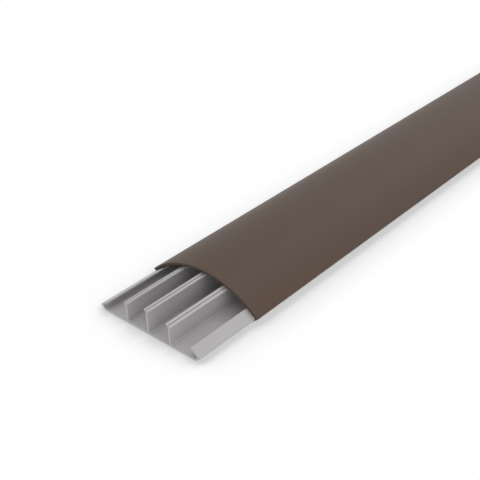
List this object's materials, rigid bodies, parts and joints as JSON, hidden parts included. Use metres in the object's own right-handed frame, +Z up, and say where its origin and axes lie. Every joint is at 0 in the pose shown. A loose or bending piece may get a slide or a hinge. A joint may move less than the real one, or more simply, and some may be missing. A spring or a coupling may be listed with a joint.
{
  "type": "cord cover raceway",
  "caption": "Half-round floor cord cover: a flat grey base strip with upright dividers and folded edges, and an arched brown cover that snaps over it.",
  "frame": {"origin": "middle of the base strip's underside", "axes": "+X across the strip, +Y along it away from the end where the base shows, +Z up from the floor"},
  "size_m": [0.075, 1.0403, 0.0179],
  "materials": {
    "grey_pvc": "satin extruded rigid PVC, light grey",
    "brown_pvc": "matt extruded rigid PVC, dark brown"
  },
  "bodies": {
    "base": {"base_channel": "grey_pvc"},
    "cover": {"snap_cover": "brown_pvc"}
  },
  "joints": [
    {"name": "cover_slide", "type": "slide", "parent": "base", "child": "cover", "axis": [0, 1, 0], "range_m": [-0.0403, 0.97]}
  ]
}
